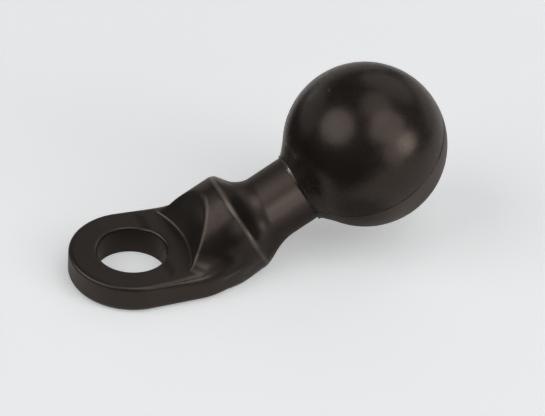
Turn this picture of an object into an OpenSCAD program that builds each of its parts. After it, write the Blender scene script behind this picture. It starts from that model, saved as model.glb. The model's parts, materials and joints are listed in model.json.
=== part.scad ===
// Bolt-on ball mount base: a flat eyelet plate, an oblique boss cut back for the bolt head and
// washer, a round neck that rises from it, and a rubber-covered ball.
// Frame: origin on the bolt hole's axis at the bottom face, +Z up the hole, +X towards the ball.

/* [Ball] */
// Outer diameter of the rubber ball
ball_d = 25.4; // [24:0.1:30]
// Thickness of the rubber over the metal core
rubber_wall = 3.2; // [2.5:0.1:4]
// Distance of the ball's centre from the bolt hole's axis
ball_x = 37.6; // [36:0.1:42]
// Height of the ball's centre above the bottom face
ball_z = 16.8; // [16:0.1:18]
// Distance that the rubber's lip reaches down the neck, from the ball's centre
lip_reach = 12.3; // [12:0.1:13.5]
// Thickness of the rubber lip at its end
lip_wall = 0.2; // [0.1:0.1:1]
// Length of the flare that carries the lip into the ball
flare_len = 2; // [1:0.1:2.2]
// Diameter of the cross hole that locks the rubber to the core
lock_hole_d = 4; // [2:0.5:6]

/* [Plate] */
// Thickness of the plate
plate_t = 4.8; // [4:0.1:6]
// Width of the plate across its parallel sides
plate_w = 19.4; // [18:0.1:22]
// Diameter of the bolt hole
hole_d = 10.8; // [8:0.1:12]
// Radius of the rounded edge at each mouth of the bolt hole
hole_edge_r = 0.2; // [0.1:0.05:0.8]
// Radius of the plate's upper edge
top_edge_r = 0.7; // [0.3:0.1:1]
// Radius of the plate's lower edge
bottom_edge_r = 1.2; // [0.4:0.1:1.4]
// Length of the parallel sides, from the bolt hole's axis
side_len = 8; // [6:0.5:10]
// Radius of the flanks that narrow from the parallel sides to the boss
flank_r = 12; // [11:0.5:20]

/* [Neck] */
// Angle of the neck above the plate
neck_angle = 30; // [28:1:32]
// Diameter of the neck
neck_d = 10.9; // [10:0.1:12]

/* [Boss] */
// Diameter of the boss
boss_d = 16.4; // [16:0.1:18]
// Height of the boss's axis above the neck's axis, square to both
boss_lift = 1; // [0.5:0.1:1.2]
// Distance of the boss's rim from the ball's centre
boss_end = 22.5; // [22:0.1:24]
// Slope of the boss's end face towards the neck, in degrees
end_slope = 38; // [20:1:45]
// Radius of the boss's rim
rim_r = 0.7; // [0.4:0.1:1.2]
// Length of the cone that carries the boss into the neck
shoulder_len = 4.3; // [3:0.1:6]
// Diameter of that cone at the boss's rim
shoulder_d = 14.4; // [13:0.1:15]

/* [Washer seat] */
// Distance of the seat wall's foot from the bolt hole's axis
wall_x = 8.6; // [8.5:0.1:10]
// Radius of the seat wall at its foot
wall_r = 16; // [11:0.5:20]
// Lean of the seat wall away from the bolt, in degrees
wall_lean = 18; // [5:1:20]
// Radius of the fillet at the wall's foot
wall_foot_r = 0.4; // [0.3:0.1:1]
// Distance from the bolt hole's axis to where the wall's ends turn back, along +X
corner_x = 7; // [6:0.1:8]
// Distance from the middle plane to where the wall's ends turn back
corner_y = 7.9; // [7:0.1:9]
// Angle between the wall's ends and the plate's sides
corner_angle = 36; // [20:1:60]

/* [Hidden] */
$fn = 96;

ball_r = ball_d / 2;
core_r = ball_r - rubber_wall;
neck_r = neck_d / 2;
boss_r = boss_d / 2;
hole_r = hole_d / 2;
plate_r = plate_w / 2;
shoulder_r = shoulder_d / 2;

// the flare ends this far inside the ball's surface, so that it runs cleanly into the sphere
flare_sink = 0.1;
flare_top = lip_reach - flare_len;
flare_r = sqrt(ball_r * ball_r - flare_top * flare_top) - flare_sink;

// distance along the boss's wall and end face that its rounded rim takes up
rim_run = rim_r / tan((90 + end_slope) / 2);
// length of the arm inside the plate that the floor cut trims away
arm_root = 42;
// length of the oblique boss cylinder, most of which the floor and seat cuts trim away
boss_len = 20;
// how far the flanks run along +X, into the boss
flank_len = 9;
// a cut that must pass through runs this much past the surface
past = 1;
// size of the block that trims everything below the bottom face
floor_block = 80;
// height of the seat cut, enough to clear the top of the boss
seat_h = 16;
// length and depth of the cuts behind the wall's ends
corner_len = 12;
corner_depth = 6;

// Frame with its origin at the ball's centre and +Z out along the neck, away from the plate
module on_neck_axis() {
    translate([ball_x, 0, ball_z])
        rotate([0, 90 - neck_angle, 0])
            children();
}

// Half of the plate's cross-section: x from the middle out, y up, with both outer edges rounded
module plate_section() {
    square([plate_r - bottom_edge_r, plate_t - top_edge_r]);
    square([plate_r - max(top_edge_r, bottom_edge_r), plate_t]);
    translate([0, bottom_edge_r])
        square([plate_r, plate_t - top_edge_r - bottom_edge_r]);
    translate([plate_r - top_edge_r, plate_t - top_edge_r])
        circle(top_edge_r);
    translate([plate_r - bottom_edge_r, bottom_edge_r])
        circle(bottom_edge_r);
}

// A round end about the bolt hole, then a straight bar whose flanks narrow along arcs to the boss
module plate() {
    rotate_extrude()
        plate_section();
    intersection() {
        rotate([90, 0, 90])
            linear_extrude(side_len + flank_len)
                union() {
                    plate_section();
                    mirror([1, 0])
                        plate_section();
                }
        union() {
            translate([0, -plate_r, 0])
                cube([side_len, plate_w, plate_t]);
            intersection() {
                translate([side_len, plate_r - flank_r, 0])
                    cylinder(r = flank_r, h = plate_t);
                translate([side_len, flank_r - plate_r, 0])
                    cylinder(r = flank_r, h = plate_t);
                translate([side_len, -plate_r, 0])
                    cube([flank_len, plate_w, plate_t]);
            }
        }
    }
}

// Oblique boss: a cylinder beside the neck's axis, with a rounded rim and a sloping end face
module boss() {
    translate([-boss_lift, 0, -boss_end])
        rotate_extrude() {
            polygon([
                [0, -boss_len],
                [boss_r, -boss_len],
                [boss_r, -rim_run],
                [boss_r - rim_run * cos(end_slope), rim_run * sin(end_slope)],
                [0, boss_r * tan(end_slope)]
            ]);
            translate([boss_r - rim_r, -rim_run])
                circle(rim_r);
        }
}

// Cone that carries the boss into the neck
module shoulder() {
    translate([0, 0, -boss_end])
        cylinder(r1 = shoulder_r, r2 = neck_r, h = shoulder_len);
}

// Space over the plate for the bolt head and washer, with a leaning round wall and a filleted foot
module washer_seat() {
    translate([wall_x - wall_r, 0, plate_t]) {
        rotate_extrude() {
            square([wall_r - wall_foot_r, seat_h]);
            translate([wall_r - wall_foot_r, wall_foot_r])
                circle(wall_foot_r);
            translate([0, wall_foot_r])
                square([wall_r, seat_h - wall_foot_r]);
        }
        translate([0, 0, wall_foot_r])
            cylinder(r1 = wall_r, r2 = wall_r + seat_h * tan(wall_lean), h = seat_h);
    }
}

// Cuts that turn the wall's ends back towards the plate's sides
module wall_corners() {
    for (side = [0, 1])
        mirror([0, side, 0])
            translate([corner_x, corner_y, plate_t])
                rotate([90, 0, corner_angle - 90])
                    translate([0, 0, -corner_len / 2])
                        linear_extrude(corner_len)
                            polygon([
                                [-corner_depth, 0],
                                [0, 0],
                                [seat_h * tan(wall_lean), seat_h],
                                [-corner_depth, seat_h]
                            ]);
}

// Bolt hole, with a rounded edge at each mouth
module bolt_hole() {
    translate([0, 0, -past])
        cylinder(r = hole_r, h = plate_t + 2 * past);
    for (face = [0, 1])
        translate([0, 0, face * plate_t])
            mirror([0, 0, face])
                rotate_extrude()
                    difference() {
                        translate([0, -past])
                            square([hole_r + hole_edge_r, hole_edge_r + past]);
                        translate([hole_r + hole_edge_r, hole_edge_r])
                            circle(hole_edge_r);
                    }
}

// Solid that fills the rubber's cavity: the round core and the neck, less the locking cross hole
module core() {
    difference() {
        union() {
            sphere(core_r);
            translate([0, 0, -arm_root])
                cylinder(r = neck_r, h = arm_root);
        }
        rotate([90, 0, 0])
            cylinder(d = lock_hole_d, h = ball_d, center = true);
    }
}

// One casting: eyelet plate, boss, neck and core
module cast_base() {
    color([0.10, 0.09, 0.085])
        difference() {
            union() {
                plate();
                on_neck_axis() {
                    boss();
                    shoulder();
                    core();
                }
            }
            translate([-floor_block / 2, -floor_block / 2, -floor_block])
                cube(floor_block);
            washer_seat();
            wall_corners();
            bolt_hole();
        }
}

// Moulded ball that grips the core, with a short lip that flares into it from the neck
module rubber_ball() {
    color([0.13, 0.12, 0.115])
        on_neck_axis()
            difference() {
                union() {
                    sphere(ball_r);
                    translate([0, 0, -lip_reach])
                        cylinder(r1 = neck_r + lip_wall, r2 = flare_r, h = flare_len);
                }
                core();
            }
}

cast_base();
rubber_ball();
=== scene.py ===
import json
import math

import bpy
import numpy as np
from mathutils import Matrix, Vector


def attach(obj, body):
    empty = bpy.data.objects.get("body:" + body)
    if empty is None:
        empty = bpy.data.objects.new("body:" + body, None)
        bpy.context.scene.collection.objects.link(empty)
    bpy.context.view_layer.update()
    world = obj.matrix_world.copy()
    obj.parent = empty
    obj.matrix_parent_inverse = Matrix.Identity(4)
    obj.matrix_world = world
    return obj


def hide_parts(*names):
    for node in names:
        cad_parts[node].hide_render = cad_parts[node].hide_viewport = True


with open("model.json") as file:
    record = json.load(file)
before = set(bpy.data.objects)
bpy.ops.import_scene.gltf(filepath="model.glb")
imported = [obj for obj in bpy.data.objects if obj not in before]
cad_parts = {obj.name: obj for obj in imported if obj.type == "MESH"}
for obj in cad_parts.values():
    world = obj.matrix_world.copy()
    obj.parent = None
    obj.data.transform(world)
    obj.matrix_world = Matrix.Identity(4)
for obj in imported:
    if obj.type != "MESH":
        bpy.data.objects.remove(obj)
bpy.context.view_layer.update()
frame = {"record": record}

MM = 0.001

# ---------------------------------------------------------------- sizes, in mm
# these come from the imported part
MOUNTS = {m["name"]: m for m in frame["record"]["mounts"]}


def mount_mm(name):
    return np.array(MOUNTS[name]["pos_m"], float) / MM


BALL = mount_mm("ball")
BALL_R = MOUNTS["ball"]["dims"]["r_mm"]
PLATE_T = float(mount_mm("washer_face")[2])
HOLE_R = MOUNTS["eyelet_bore"]["dims"]["r_mm"]

# the rest were fitted to the photo, as the CAD's sizes were; fillets are made only here
# the neck and the ball's core; S below is measured along the neck from the ball's centre
NECK_ANGLE = math.radians(30)
NECK_R = 5.44
CORE_R = 9.5
LOCK_R = 2.0

# the eyelet plate
PLATE_R = 9.71
SIDE_LEN = 7.9
FLANK_R = 11.7
PLATE_END = 22
# the top edge's radius grows over this length, from the hole's centre towards the boss
TOP_EDGE = 0.75
TOP_EDGE_END = 1.7
TOP_EDGE_LEN = 8
BOTTOM_EDGE = 1.2
HOLE_EDGE_TOP = 0.5
HOLE_EDGE_LOW = 0.15

# the boss: its ends are at these S
BOSS_R = 8.0
BOSS_LIFT = 1.3
BOSS_END = -22.34
BOSS_ROOT = -34.0
RIM_R = 0.6
CONE = math.radians(36.1)
# radius of the fillet between boss and neck: above, and this far or more below the neck's axis
SHOULDER_R = 1.5
SHOULDER_LOW = 3.58
SHOULDER_DEPTH = 4
# the fillet between boss and plate, and the heights and lengths over which it grows to that
BLEND = 2.1
BLEND_LEAST = 0.02
BLEND_Z = (1.5, 4.0)
BLEND_X = (9, 16)

# the seat cut for the bolt's head and washer
WALL_X = 8.6
WALL_R = 16.0
WALL_LEAN = math.radians(18)
WALL_FOOT = 0.4
WALL_EDGE = 0.5
CORNER_X, CORNER_Y = 7.0, 7.9
CORNER_TURN = math.radians(36)

# the rubber's lip round the neck
LIP_REACH = 12.3
LIP_WALL = 0.28
LIP_CORNER = 0.12
LIP_LAND = 0.18
# where the flare from the lip meets the ball, and how gently it leaves the lip
FLARE_TOP = 10.3
FLARE_EASE = 0.12

AXIS = np.array([math.cos(NECK_ANGLE), 0, math.sin(NECK_ANGLE)])
ABOVE = np.array([-math.sin(NECK_ANGLE), 0, math.cos(NECK_ANGLE)])
ASIDE = np.array([0, 1.0, 0])

# the ball's parting plane holds the neck's axis and is turned about it by this much
PARTING = math.radians(12)
PARTING_NORMAL = math.cos(PARTING) * ABOVE - math.sin(PARTING) * ASIDE
# how far the lower half stands out past the upper, and over what height it does so
SEAM_STEP = 0.10
SEAM_SOFT = 0.06
# the flash: how far it stands out, how far below the line its middle is, and its half width
SEAM_FLASH = 0.05
FLASH_BELOW = 0.08
FLASH_WIDTH = 0.09
# along the line the flash varies by sines: size, radians per mm, and start
FLASH_WAVES = [(0.35, 1.9, 0), (0.25, 4.7, 1)]
# the step and the flash die out where the ball's rings are smaller than this
SEAM_RING = 4
# angle to each side of a parting line that has columns of its own
SEAM_ANGLE = 0.06
# where the mould left a small pip on the ball, as a direction from its centre
PIP = np.array([-0.513, 0.059, 0.856])

# ---------------------------------------------------------------- how finely the meshes are made
# the casting: the grid's step and its box, and how many of its layers are worked out at once
VOXEL = 0.2
MESH_LOW = (-10.6, -10.9, -0.9)
MESH_HIGH = (BALL[0] + 10.2, 10.9, BALL[2] + 10.2)
SLAB = 8
SETTLE_STEPS = 4
# how far to each side the slope of the field is measured
PROBE = 0.01
# the least squared slope that a step is divided by, and how many voxels a point may move
SLOPE_LEAST = 0.05
MOVE_MOST = 0.7
# the ball: rings along each stretch, and columns from one parting line to the other
CORNER_RINGS, FLARE_RINGS, BALL_RINGS, CORE_RINGS, BORE_RINGS = 5, 10, 150, 40, 12
HALF_COLUMNS = 112


# ---------------------------------------------------------------- distance functions
def join(a, b, r):
    """Union of two solids with a hollow fillet of radius r between them."""
    u, v = np.maximum(r - a, 0), np.maximum(r - b, 0)
    return np.maximum(r, np.minimum(a, b)) - np.sqrt(u * u + v * v)


def keep(a, b, r):
    """Part common to two solids, its edge rounded to radius r."""
    u, v = np.maximum(r + a, 0), np.maximum(r + b, 0)
    return np.minimum(-r, np.maximum(a, b)) + np.sqrt(u * u + v * v)


def rise(value, start, end):
    """0 up to start, 1 from end on, and a smooth rise between."""
    t = np.clip((value - start) / (end - start), 0, 1)
    return t * t * (3 - 2 * t)


def along_neck(x, z):
    """Distance along the neck's axis from the ball's centre, and height square to that axis."""
    ca, sa = math.cos(NECK_ANGLE), math.sin(NECK_ANGLE)
    dx, dz = x - BALL[0], z - BALL[2]
    return dx * ca + dz * sa, -dx * sa + dz * ca


def plate_field(x, y, z):
    ay = np.abs(y)
    straight = np.hypot(np.minimum(x, 0), ay) - PLATE_R
    middle = PLATE_R - FLANK_R
    flank = np.hypot(np.maximum(x - SIDE_LEN, 0), ay - middle) - FLANK_R
    plan = np.maximum(np.where(x > SIDE_LEN, flank, straight), x - PLATE_END)
    edge = TOP_EDGE + (TOP_EDGE_END - TOP_EDGE) * np.clip(x / TOP_EDGE_LEN, 0, 1)
    return keep(keep(plan, z - PLATE_T, edge), -z, BOTTOM_EDGE)


def boss_field(s, h, y):
    rho = np.hypot(y, h - BOSS_LIFT) - BOSS_R
    cone = (s - BOSS_END) * math.cos(CONE) + rho * math.sin(CONE)
    return np.maximum(keep(rho, cone, RIM_R), BOSS_ROOT - s)


def seat_field(x, y, z):
    """Space that is cut away over the plate for the bolt head and washer."""
    lean = np.maximum(z - PLATE_T, -1) * math.tan(WALL_LEAN)
    wall = (np.hypot(x - (WALL_X - WALL_R), y) - WALL_R - lean) * math.cos(WALL_LEAN)
    out_x, out_y = x - CORNER_X, np.abs(y) - CORNER_Y
    corner = out_x * math.sin(CORNER_TURN) - out_y * math.cos(CORNER_TURN)
    wall = np.minimum(wall, (corner - lean) * math.cos(WALL_LEAN))
    return keep(wall, PLATE_T - z, WALL_FOOT)


def cast_field(x, y, z):
    s, h = along_neck(x, z)
    core = np.sqrt(s * s + h * h + y * y) - CORE_R
    neck = np.maximum(np.hypot(y, h) - NECK_R, s)
    lock = np.maximum(np.hypot(s, h) - LOCK_R, np.abs(y) - BALL_R)
    shoulder = SHOULDER_R + (SHOULDER_LOW - SHOULDER_R) * rise(-h, 0, SHOULDER_DEPTH)
    arm = join(boss_field(s, h, y), neck, shoulder)
    # the fillet between boss and plate dies out down the plate's straight sides
    blend = BLEND_LEAST + BLEND * np.maximum(rise(z, *BLEND_Z), rise(x, *BLEND_X))
    body = np.maximum(join(arm, plate_field(x, y, z), blend), -z)
    body = keep(body, -seat_field(x, y, z), WALL_EDGE)
    mouth = np.where(z > PLATE_T / 2, HOLE_EDGE_TOP, HOLE_EDGE_LOW)
    body = keep(body, HOLE_R - np.hypot(x, y), mouth)
    return np.maximum(np.minimum(body, core), -lock)


# ---------------------------------------------------------------- meshing
def gradient(field, p):
    g = np.empty_like(p)
    for i in range(3):
        a, b = p.copy(), p.copy()
        a[:, i] += PROBE
        b[:, i] -= PROBE
        g[:, i] = (field(*a.T) - field(*b.T)) / (2 * PROBE)
    return g


def surface_mesh(field, low, high, step):
    """Points, four-sided faces and normals of the surface where field is 0.

    Each cell of the grid that the surface crosses gets one point, and each edge of the grid
    that it crosses gets one face, between the points of the four cells round that edge.
    """
    low, high = np.array(low, float), np.array(high, float)
    n = np.ceil((high - low) / step).astype(int) + 1
    axes = [low[i] + step * np.arange(n[i]) for i in range(3)]
    f = np.empty(n)
    for i in range(0, n[0], SLAB):
        grid = np.meshgrid(axes[0][i:i + SLAB], axes[1], axes[2], indexing="ij")
        f[i:i + SLAB] = field(*grid)
    inside = f < 0
    cells = n - 1
    strides = np.array([cells[1] * cells[2], cells[2], 1])
    hit_cell, hit_point, quads = [], [], []
    for a in range(3):
        b, c = (a + 1) % 3, (a + 2) % 3
        first = [slice(None)] * 3
        second = [slice(None)] * 3
        first[a], second[a] = slice(0, -1), slice(1, None)
        first, second = tuple(first), tuple(second)
        cross = inside[first] != inside[second]
        idx = np.argwhere(cross)
        f0, f1 = f[first][cross], f[second][cross]
        point = low + step * idx
        point[:, a] += step * f0 / (f0 - f1)
        ok = (idx[:, b] > 0) & (idx[:, c] > 0) & (idx[:, b] < cells[b]) & (idx[:, c] < cells[c])
        idx, point, out = idx[ok], point[ok], f1[ok] > 0
        ring = []
        for db, dc in ((-1, -1), (0, -1), (0, 0), (-1, 0)):
            k = idx.copy()
            k[:, b] += db
            k[:, c] += dc
            cell = k @ strides
            ring.append(cell)
            hit_cell.append(cell)
            hit_point.append(point)
        ring = np.stack(ring, 1)
        ring[~out] = ring[~out][:, ::-1]
        quads.append(ring)
    used, where = np.unique(np.concatenate(hit_cell), return_inverse=True)
    count = np.bincount(where)
    point = np.concatenate(hit_point)
    p = np.stack([np.bincount(where, point[:, i]) / count for i in range(3)], 1)
    # the points settle on to the surface
    start = p.copy()
    for _ in range(SETTLE_STEPS):
        g = gradient(field, p)
        slope = np.maximum(np.sum(g * g, 1), SLOPE_LEAST)
        p -= g * (field(*p.T) / slope)[:, None]
        p = start + np.clip(p - start, -MOVE_MOST * step, MOVE_MOST * step)
    g = gradient(field, p)
    normal = g / np.linalg.norm(g, axis=1)[:, None]
    return p, np.searchsorted(used, np.concatenate(quads)), normal


def add_object(name, points, faces, normals=None):
    mesh = bpy.data.meshes.new(name)
    mesh.from_pydata((points * MM).tolist(), [], faces)
    mesh.polygons.foreach_set("use_smooth", [True] * len(mesh.polygons))
    mesh.update()
    if normals is not None:
        mesh.normals_split_custom_set_from_vertices(normals.tolist())
    obj = bpy.data.objects.new(name, mesh)
    bpy.context.scene.collection.objects.link(obj)
    return obj


# ---------------------------------------------------------------- materials
class Nodes:
    """Short way to build a material's node tree. Lengths go in in mm, and come out in metres."""

    def __init__(self, name):
        self.material = bpy.data.materials.new(name)
        self.material.use_nodes = True
        self.tree = self.material.node_tree
        self.tree.nodes.clear()
        self.out = self.add("ShaderNodeOutputMaterial")
        self.shader = self.add("ShaderNodeBsdfPrincipled")
        self.link(self.shader.outputs["BSDF"], self.out.inputs["Surface"])
        self.place = self.add("ShaderNodeTexCoord").outputs["Object"]

    def add(self, kind, **settings):
        node = self.tree.nodes.new(kind)
        for key, value in settings.items():
            setattr(node, key, value)
        return node

    def link(self, a, b):
        self.tree.links.new(a, b)

    def put(self, value, socket):
        """Link another node's output, or set a constant."""
        if isinstance(value, bpy.types.NodeSocket):
            self.link(value, socket)
        else:
            socket.default_value = value if socket.type == "VALUE" else as_colour(value)

    def noise(self, size_mm, detail):
        node = self.add("ShaderNodeTexNoise")
        node.inputs["Scale"].default_value = 1 / (size_mm * MM)
        node.inputs["Detail"].default_value = detail
        self.link(self.place, node.inputs["Vector"])
        return node.outputs["Fac"]

    def ramp(self, value, span, first, last):
        """first up to the span's start, last from its end on, and a straight mix between."""
        node = self.add("ShaderNodeValToRGB")
        for element, place, colour in zip(node.color_ramp.elements, span, (first, last)):
            element.position, element.color = place, as_colour(colour)
        self.link(value, node.inputs["Fac"])
        return node.outputs["Color"]

    def mix(self, factor, a, b):
        """Mix of two colours."""
        node = self.add("ShaderNodeMix", data_type="RGBA")
        for value, k in ((factor, 0), (a, 6), (b, 7)):
            self.put(value, node.inputs[k])
        return node.outputs[2]

    def blend(self, factor, a, b):
        """Mix of two numbers."""
        node = self.add("ShaderNodeMix", data_type="FLOAT")
        for value, k in ((factor, 0), (a, 2), (b, 3)):
            self.put(value, node.inputs[k])
        return node.outputs[0]

    def scale(self, value, low, high, start, end):
        """low up to start, high from end on, and a straight line between."""
        node = self.add("ShaderNodeMapRange")
        node.inputs["From Min"].default_value, node.inputs["From Max"].default_value = start, end
        node.inputs["To Min"].default_value, node.inputs["To Max"].default_value = low, high
        self.link(value, node.inputs["Value"])
        return node.outputs["Result"]

    def past(self, length, start_mm, end_mm):
        """0 up to start, 1 from end on."""
        return self.scale(length, 0, 1, start_mm * MM, end_mm * MM)

    def short_of(self, length, start_mm, end_mm):
        """1 up to start, 0 from end on."""
        return self.scale(length, 1, 0, start_mm * MM, end_mm * MM)

    def within(self, length, band_mm):
        """1 between the band's two middle lengths, 0 outside its two outer ones."""
        a, b, c, d = band_mm
        return self.product(self.past(length, a, b), self.short_of(length, c, d))

    def vector(self, operation, a, b=None):
        node = self.add("ShaderNodeVectorMath", operation=operation)
        self.link(a, node.inputs[0])
        if b is not None:
            node.inputs[1].default_value = tuple(b)
        return node.outputs

    def offset(self, origin_mm):
        return self.vector("SUBTRACT", self.place, np.array(origin_mm) * MM)["Vector"]

    def along(self, direction, origin_mm):
        """Distance from that point, along the direction."""
        return self.vector("DOT_PRODUCT", self.offset(origin_mm), direction)["Value"]

    def radius(self, direction, origin_mm):
        """Distance from the line through that point, along the direction."""
        cross = self.vector("CROSS_PRODUCT", self.offset(origin_mm), direction)["Vector"]
        return self.vector("LENGTH", cross)["Value"]

    def distance(self, origin_mm):
        """Distance from that point."""
        return self.vector("DISTANCE", self.place, np.array(origin_mm) * MM)["Value"]

    def combine(self, operation, a, b, clamp=False):
        node = self.add("ShaderNodeMath", operation=operation, use_clamp=clamp)
        self.link(a, node.inputs[0])
        self.link(b, node.inputs[1])
        return node.outputs["Value"]

    def total(self, a, b):
        return self.combine("ADD", a, b, clamp=True)

    def product(self, a, b):
        return self.combine("MULTIPLY", a, b)

    def bump(self, height, depth_mm, normal=None):
        node = self.add("ShaderNodeBump")
        node.inputs["Strength"].default_value = 1.0
        node.inputs["Distance"].default_value = depth_mm * MM
        self.link(height, node.inputs["Height"])
        if normal is not None:
            self.link(normal, node.inputs["Normal"])
        return node.outputs["Normal"]


def as_colour(c):
    return (c, c, c, 1.0) if isinstance(c, (int, float)) else (*c, 1.0)


# tint of the highlights on both materials
WARM = (1.0, 0.83, 0.74)
# Blender's noise lies mostly between these values
NOISE_RANGE = (0.3, 0.7)

COAT_DARK = (0.0100, 0.0082, 0.0071)
COAT_PALE = (0.0140, 0.0115, 0.0100)
COAT_FLECK = (0.022, 0.0182, 0.0157)
# a fleck begins and is full at these values of the grain
FLECK_RANGE = (0.66, 0.78)
# colour of the painted highlight line along the boss's rim
COAT_PAINTED_HIGHLIGHT = (0.105, 0.088, 0.077)
COAT_SPECULAR = 0.75
COAT_ROUGH = (0.27, 0.34)
PLATE_ROUGH = 0.37
NECK_ROUGH = 0.41
# roughness within the painted highlight line along the boss's rim
HIGHLIGHT_LINE_ROUGH = 0.30
# where the plate's roughness gives way to the boss's, in X, and the boss's to the neck's, in S
PLATE_TO_BOSS = (10, 14)
BOSS_TO_NECK = (-21.3, -20.3)
# the band along the boss's rim where a bright highlight line is painted into the coat, in S and in
# radius from the boss's axis
HIGHLIGHT_LINE_S = (-23.0, -22.7, -22.4, -22.1)
HIGHLIGHT_LINE_R = (7.2, 7.6, 8.1, 8.3)
PEEL_DEPTH = 0.022
GRAIN_DEPTH = 0.008

RUBBER_DARK = (0.0125, 0.0102, 0.0088)
RUBBER_PALE = (0.0170, 0.0140, 0.0122)
# paler colour of the lower half: partly its finish, partly painted light from below
RUBBER_LOWER_FINISH_AND_LIGHT = (0.042, 0.0343, 0.0301)
RUBBER_SPECULAR = 0.62
RUBBER_ROUGH = (0.24, 0.31)
LOWER_ROUGH = 0.42
LOWER_EDGE = (-0.2, 0)
RUBBER_DEPTH = 0.008
PIP_R = (0.1, 0.35)
PIP_HEIGHT = 0.12


def powder_coat():
    n = Nodes("powder_coat")
    base = n.ramp(n.noise(size_mm=6, detail=3), NOISE_RANGE, COAT_DARK, COAT_PALE)
    grain = n.noise(size_mm=0.25, detail=2)
    fleck = n.ramp(grain, FLECK_RANGE, 0.0, 1.0)
    base = n.mix(fleck, base, COAT_FLECK)
    # painted highlight: the bright line along the boss's rim is painted into the coat's colour, and
    # the band is made smoother
    away = n.along(AXIS, BALL)
    radius = n.radius(AXIS, BALL + BOSS_LIFT * ABOVE)
    painted_highlight = n.product(n.within(away, HIGHLIGHT_LINE_S), n.within(radius, HIGHLIGHT_LINE_R))
    n.link(n.mix(painted_highlight, base, COAT_PAINTED_HIGHLIGHT), n.shader.inputs["Base Color"])
    # the plate and the neck are a little rougher than the boss
    plate = n.short_of(n.along((1, 0, 0), (0, 0, 0)), *PLATE_TO_BOSS)
    rough = n.scale(n.noise(size_mm=1.6, detail=3), *COAT_ROUGH, *NOISE_RANGE)
    rough = n.blend(plate, rough, PLATE_ROUGH)
    rough = n.blend(n.past(away, *BOSS_TO_NECK), rough, NECK_ROUGH)
    n.link(n.blend(painted_highlight, rough, HIGHLIGHT_LINE_ROUGH), n.shader.inputs["Roughness"])
    n.shader.inputs["Specular IOR Level"].default_value = COAT_SPECULAR
    n.shader.inputs["Specular Tint"].default_value = as_colour(WARM)
    peel = n.bump(n.noise(size_mm=1.1, detail=1.5), PEEL_DEPTH)
    n.link(n.bump(grain, GRAIN_DEPTH, peel), n.shader.inputs["Normal"])
    return n.material


def ball_rubber():
    n = Nodes("ball_rubber")
    base = n.ramp(n.noise(size_mm=5, detail=4), NOISE_RANGE, RUBBER_DARK, RUBBER_PALE)
    # the half below the parting line came from the mould's other side and is duller; its paler
    # colour is partly that finish and partly painted light from the floor below
    lower = n.short_of(n.along(PARTING_NORMAL, BALL), *LOWER_EDGE)
    n.link(n.mix(lower, base, RUBBER_LOWER_FINISH_AND_LIGHT), n.shader.inputs["Base Color"])
    rough = n.scale(n.noise(size_mm=1.2, detail=3), *RUBBER_ROUGH, *NOISE_RANGE)
    n.link(n.blend(lower, rough, LOWER_ROUGH), n.shader.inputs["Roughness"])
    n.shader.inputs["Specular IOR Level"].default_value = RUBBER_SPECULAR
    n.shader.inputs["Specular Tint"].default_value = as_colour(WARM)
    pip = n.short_of(n.distance(BALL + BALL_R * PIP), *PIP_R)
    skin = n.bump(n.noise(size_mm=0.35, detail=3), RUBBER_DEPTH)
    n.link(n.bump(pip, PIP_HEIGHT, skin), n.shader.inputs["Normal"])
    return n.material


# ---------------------------------------------------------------- pieces
def cast_base():
    points, faces, normals = surface_mesh(cast_field, MESH_LOW, MESH_HIGH, VOXEL)
    obj = add_object("cast_base_casting", points, faces.tolist(), normals)
    obj.data.materials.append(powder_coat())
    return obj


def seam_columns():
    """Angles round the neck's axis, closer together at the two parting lines, and at each angle
    the lower half's step and the thin flash left along the line."""
    # mm round the ball from the parting line
    fine = np.array([-0.6, -0.42, -0.3, -0.2, -0.13, -0.07, 0, 0.07, 0.13, 0.2, 0.3, 0.42, 0.6])
    angles = []
    for turn in (0.5 * math.pi, 1.5 * math.pi):
        seam = turn - PARTING
        coarse = seam + np.linspace(0, math.pi, HALF_COLUMNS)[1:-1]
        plain = (coarse > seam + SEAM_ANGLE) & (coarse < seam + math.pi - SEAM_ANGLE)
        angles += [*(seam + fine / BALL_R), *coarse[plain]]
    angles = np.array(angles)
    height = BALL_R * np.cos(angles + PARTING)
    step = SEAM_STEP / (1 + np.exp(height / SEAM_SOFT))
    flash = SEAM_FLASH * np.exp(-((height + FLASH_BELOW) / FLASH_WIDTH) ** 2)
    return angles, step, flash


def ball_outside():
    """The outside as (distance along the neck, radius), from the lip's end to the far pole."""
    flare_angle = math.acos(FLARE_TOP / BALL_R)
    flare_r = BALL_R * math.sin(flare_angle)
    land_r = NECK_R + LIP_WALL
    land_end = -LIP_REACH + LIP_CORNER + LIP_LAND
    rings = [(-LIP_REACH, NECK_R)]
    # the lip's end: a short land, rounded at its corner, from which the flare rises
    for a in np.linspace(0, math.pi / 2, CORNER_RINGS):
        in_s, in_r = LIP_CORNER * (1 - math.cos(a)), LIP_CORNER * (1 - math.sin(a))
        rings.append((-LIP_REACH + in_s, land_r - in_r))
    for t in np.linspace(0, 1, FLARE_RINGS)[:-1]:
        ease = t * t / (t + FLARE_EASE) * (1 + FLARE_EASE)
        rings.append((land_end + t * (-FLARE_TOP - land_end), land_r + ease * (flare_r - land_r)))
    for a in np.linspace(flare_angle, math.pi, BALL_RINGS):
        rings.append((-BALL_R * math.cos(a), BALL_R * math.sin(a)))
    return rings


def ball_inside():
    """The cavity that fits the core and the neck, from the far pole back to the lip."""
    neck_s = math.sqrt(CORE_R ** 2 - NECK_R ** 2)
    rings = []
    for a in np.linspace(math.pi, math.atan2(NECK_R, neck_s), CORE_RINGS):
        rings.append((-CORE_R * math.cos(a), CORE_R * math.sin(a)))
    return rings + [(s, NECK_R) for s in np.linspace(-neck_s, -LIP_REACH, BORE_RINGS)[1:-1]]


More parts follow.
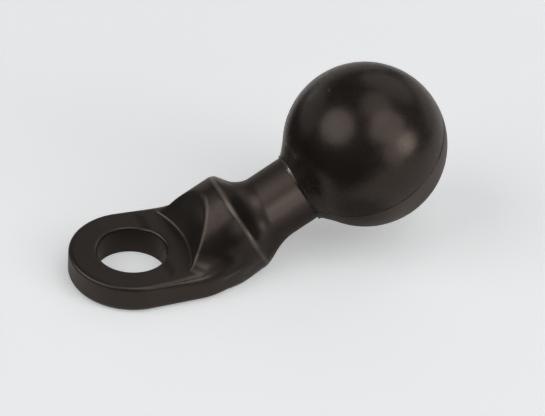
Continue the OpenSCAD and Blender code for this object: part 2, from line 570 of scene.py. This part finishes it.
def rubber_ball():
    """Lathed about the neck's axis: outside with the lip, then the cavity that fits the core."""
    outer, inner = ball_outside(), ball_inside()
    angles, step, flash = seam_columns()
    around = len(angles)
    spokes = np.outer(np.cos(angles), ABOVE) + np.outer(np.sin(angles), ASIDE)
    points, faces, rows = [], [], []
    for k, (s, r) in enumerate(outer + inner):
        # at a pole the ring is one point
        if r < 1e-6:
            rows.append([len(points)])
            points.append(BALL + s * AXIS)
            continue
        rows.append(list(range(len(points), len(points) + around)))
        # the lip's end and the cavity stay round
        grow = 0 * step
        if 1 < k < len(outer):
            wave = 1 + sum(size * math.sin(rate * s + start) for size, rate, start in FLASH_WAVES)
            grow = (step + flash * wave) * min(r / SEAM_RING, 1)
        points.extend(BALL + s * AXIS + (r + grow)[:, None] * spokes)
    for a, b in zip(rows, rows[1:] + rows[:1]):
        if len(a) == 1 and len(b) == 1:
            continue
        for k in range(around):
            m = (k + 1) % around
            if len(a) == 1:
                faces.append((a[0], b[m], b[k]))
            elif len(b) == 1:
                faces.append((a[k], a[m], b[0]))
            else:
                faces.append((a[k], a[m], b[m], b[k]))
    obj = add_object("rubber_ball_moulding", np.array(points), faces)
    obj.data.materials.append(ball_rubber())
    return obj


# ---------------------------------------------------------------- studio, in mm if not said
# half the floor's width, and how far it lies below the part, in metres
FLOOR_HALF = 30.0
FLOOR_GAP = 0.00005
FLOOR_PAINT = ((0.84, 0.89, 0.93), (0.86, 0.91, 0.95))
FLOOR_GLOW = 0.3
# how far from the part's middle the paint runs out into white, and is all white
FLOOR_MIDDLE = (20, 0, 0)
FLOOR_FADE = (80, 450)
# what the part and the light see of the floor: its grey in the open, and in full painted shade
FLOOR_DULL = (0.9, 0.06)
# the left half's painted shade grows over this distance from the bolt hole, and ends over these X
SHADE_FROM = (17, 27)
SHADE_X = (8, 22)
# other painted shades: x, y, inner and outer radius, strength
FLOOR_SHADES = [
    (-1, -2, 4, 7, 0.6),
    (31, -15, 6, 15, 0.65),
    (54, 0, 6, 13, 0.55),
]

ROOM_LIGHT = 0.06
LIGHT_TINT = (1.0, 0.96, 0.93)
BOX_AIM = (25, 0, 10)
# a beam's source, in metres, and how much of its patch is soft edge
BEAM_SOURCE_R = 0.002
BEAM_SOFT = 0.8
# name, azimuth and elevation, half width and half height as angles in degrees, radiance
SOFT_BOXES = [
    ("left", -176, 42, 25, 22, 1.55),
    ("top", -20, 80, 22, 18, 0.75),
    ("back", 40, 42, 26, 20, 0.4),
    ("back_low", 85, 10, 30, 10, 0.3),
]
# soft boxes that light only the ball and the floor, and cards that light only the casting
BALL_BOXES = [
    ("right_high", -66, 53, 26, 19, 1.3),
    ("right_core", -47, 22, 14, 12, 2.8),
    ("right_mid", -68, 19, 18, 17, 1.0),
    ("right_low", 20, 9, 26, 9, 0.35),
    ("left_wide", 128, 14, 26, 20, 0.3),
]
CASTING_CARDS = [
    ("boss_card", -150, 37, 12, 11, 0.9),
    ("back_card", 12, 20, 22, 15, 1.4),
    ("right_card", -45, 15, 14, 12, 0.45),
    ("low_card", 152, 30, 18, 13, 2.1),
    ("rim_card", -60, 66, 18, 8, 0.8),
    ("pole_card", -70, 80, 20, 16, 1.15),
]
# narrow beams: what they light, name, azimuth and elevation, aim and radius, power in watts
BEAMS = [
    ("casting", "neck_high", -112, 31, (24.2, 0, 9.1), 8.0, 3.9),
    ("casting", "neck_mid", -103, 20, (23.7, 0, 8.8), 8.0, 3.5),
    ("casting", "neck_low", -91, 4, (23.7, 0, 8.8), 8.0, 3.3),
    ("casting", "shoulder_high", -53, 47, (19.4, -4.3, 10.2), 3.0, 0.6),
    ("casting", "shoulder_low", -40, 12, (20.0, -5.6, 8.2), 3.6, 2.8),
    ("casting", "boss", -134, 44, (9.6, -5.4, 9.2), 3.6, 0.9),
    ("casting", "plate_edge", -73, 30, (2.5, -9.7, 3.4), 9.0, 6.0),
    ("ball", "lip", 160, 18, (26.9, 0, 10.6), 4.5, 24.0),
]

# the photo's view: angles in degrees, distance and aim in mm, scale in pixels per mm at the aim
VIEW_AZ, VIEW_EL, VIEW_ROLL = -114.281, 36.747, 4.503
VIEW_DISTANCE = 450.0
VIEW_SCALE = 6.470
VIEW_AIM = (20.0, 0.0, 6.0)
VIEW_SHIFT = (2.778, 1.777)
SENSOR = 36.0
IMAGE_WIDTH = 545


def floor_paint():
    """Pale paint that looks bright, but throws little light back at the dark part."""
    n = Nodes("floor_paint")
    paint = n.ramp(n.noise(size_mm=40, detail=2), NOISE_RANGE, *FLOOR_PAINT)
    n.link(paint, n.shader.inputs["Base Color"])
    n.shader.inputs["Roughness"].default_value = 0.9
    n.shader.inputs["Specular IOR Level"].default_value = 0.0
    n.shader.inputs["Emission Color"].default_value = (1, 1, 1, 1)
    n.shader.inputs["Emission Strength"].default_value = FLOOR_GLOW
    # for all but the camera, the floor is dull: away from the plate its left half has painted
    # shade, and so do a few spots by the part
    dull = n.add("ShaderNodeBsdfDiffuse")
    shade = n.product(n.past(n.distance((0, 0, 0)), *SHADE_FROM),
                      n.short_of(n.along((1, 0, 0), (0, 0, 0)), *SHADE_X))
    for x, y, inner, outer, strength in FLOOR_SHADES:
        spot = n.scale(n.distance((x, y, 0)), strength, 0, inner * MM, outer * MM)
        shade = n.total(shade, spot)
    n.link(n.ramp(shade, (0, 1), *FLOOR_DULL), dull.inputs["Color"])
    # for the camera, the paint runs out into the white of the room far from the part
    white = n.add("ShaderNodeEmission")
    fade = n.add("ShaderNodeMixShader")
    n.link(n.past(n.distance(FLOOR_MIDDLE), *FLOOR_FADE), fade.inputs["Fac"])
    n.link(n.shader.outputs["BSDF"], fade.inputs[1])
    n.link(white.outputs["Emission"], fade.inputs[2])
    pick = n.add("ShaderNodeMixShader")
    n.link(n.add("ShaderNodeLightPath").outputs["Is Camera Ray"], pick.inputs["Fac"])
    n.link(dull.outputs["BSDF"], pick.inputs[1])
    n.link(fade.outputs["Shader"], pick.inputs[2])
    n.link(pick.outputs["Shader"], n.out.inputs["Surface"])
    return n.material


def floor():
    mesh = bpy.data.meshes.new("floor")
    corners = [(x * FLOOR_HALF, y * FLOOR_HALF, 0) for x, y in ((-1, -1), (1, -1), (1, 1), (-1, 1))]
    mesh.from_pydata(corners, [], [(0, 1, 2, 3)])
    obj = bpy.data.objects.new("floor", mesh)
    obj.location.z = -FLOOR_GAP
    obj.data.materials.append(floor_paint())
    bpy.context.scene.collection.objects.link(obj)
    return obj


def sight(azimuth, elevation):
    """Unit vectors towards that direction, in degrees, then across it and level."""
    az, el = math.radians(azimuth), math.radians(elevation)
    way = Vector((math.cos(el) * math.cos(az), math.cos(el) * math.sin(az), math.sin(el)))
    return way, Vector((-math.sin(az), math.cos(az), 0))


def camera():
    way, level = sight(VIEW_AZ, VIEW_EL)
    tall = way.cross(level)
    roll = math.radians(VIEW_ROLL)
    right = level * math.cos(roll) + tall * math.sin(roll)
    up = -level * math.sin(roll) + tall * math.cos(roll)
    aim = Vector(VIEW_AIM) + right * VIEW_SHIFT[0] + up * VIEW_SHIFT[1]
    data = bpy.data.cameras.new("camera")
    data.sensor_width = SENSOR
    data.lens = VIEW_SCALE * VIEW_DISTANCE * SENSOR / IMAGE_WIDTH
    data.clip_start, data.clip_end = 0.01, 100
    obj = bpy.data.objects.new("camera", data)
    turn = Matrix((right, up, way)).transposed()
    obj.matrix_world = Matrix.Translation((aim + way * VIEW_DISTANCE) * MM) @ turn.to_4x4()
    bpy.context.scene.collection.objects.link(obj)
    bpy.context.scene.camera = obj


def add_light(data, azimuth, elevation, aim, group):
    """Put a light one metre from the aim, facing it. It lights only the group, if there is one."""
    way, level = sight(azimuth, elevation)
    data.color = LIGHT_TINT
    obj = bpy.data.objects.new(data.name, data)
    turn = Matrix((level, way.cross(level), way)).transposed()
    obj.matrix_world = Matrix.Translation(Vector(aim) * MM + way) @ turn.to_4x4()
    obj.light_linking.receiver_collection = group
    bpy.context.scene.collection.objects.link(obj)


def soft_box(group, name, azimuth, elevation, half_width, half_height, radiance):
    """Area light that looks as wide and high as those angles, and as bright as that radiance."""
    data = bpy.data.lights.new(name, "AREA")
    data.shape = "ELLIPSE"
    data.size = 2 * math.tan(math.radians(half_width))
    data.size_y = 2 * math.tan(math.radians(half_height))
    data.energy = radiance * math.pi ** 2 / 4 * data.size * data.size_y
    add_light(data, azimuth, elevation, BOX_AIM, group)


def beam(group, name, azimuth, elevation, aim, radius, power):
    """Narrow spot that lights only a patch of that radius."""
    data = bpy.data.lights.new(name, "SPOT")
    data.energy = power
    data.shadow_soft_size = BEAM_SOURCE_R
    data.spot_size = 2 * math.atan(radius * MM)
    data.spot_blend = BEAM_SOFT
    add_light(data, azimuth, elevation, aim, group)


def room():
    """White room for the camera, and a dim one for the part."""
    world = bpy.data.worlds.new("studio")
    bpy.context.scene.world = world
    world.use_nodes = True
    tree = world.node_tree
    background = tree.nodes["Background"]
    path = tree.nodes.new("ShaderNodeLightPath")
    bright = tree.nodes.new("ShaderNodeMapRange")
    bright.inputs["To Min"].default_value, bright.inputs["To Max"].default_value = ROOM_LIGHT, 1.0
    tree.links.new(path.outputs["Is Camera Ray"], bright.inputs["Value"])
    tree.links.new(bright.outputs["Result"], background.inputs["Strength"])
    background.inputs["Color"].default_value = (1, 1, 1, 1)


def studio(casting, moulding, ground):
    room()
    groups = {"all": None}
    members = {"casting": (casting,), "ball": (moulding,), "ball_and_floor": (moulding, ground)}
    for name, objects in members.items():
        groups[name] = bpy.data.collections.new(name)
        for obj in objects:
            groups[name].objects.link(obj)
    for light in SOFT_BOXES:
        soft_box(groups["all"], *light)
    for light in BALL_BOXES:
        soft_box(groups["ball_and_floor"], *light)
    for light in CASTING_CARDS:
        soft_box(groups["casting"], *light)
    for name, *light in BEAMS:
        beam(groups[name], *light)
    bpy.context.scene.view_settings.view_transform = "Standard"


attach(casting := cast_base(), "root")
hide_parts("cast_base")
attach(moulding := rubber_ball(), "root")
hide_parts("rubber_ball")

studio(casting, moulding, floor())
camera()
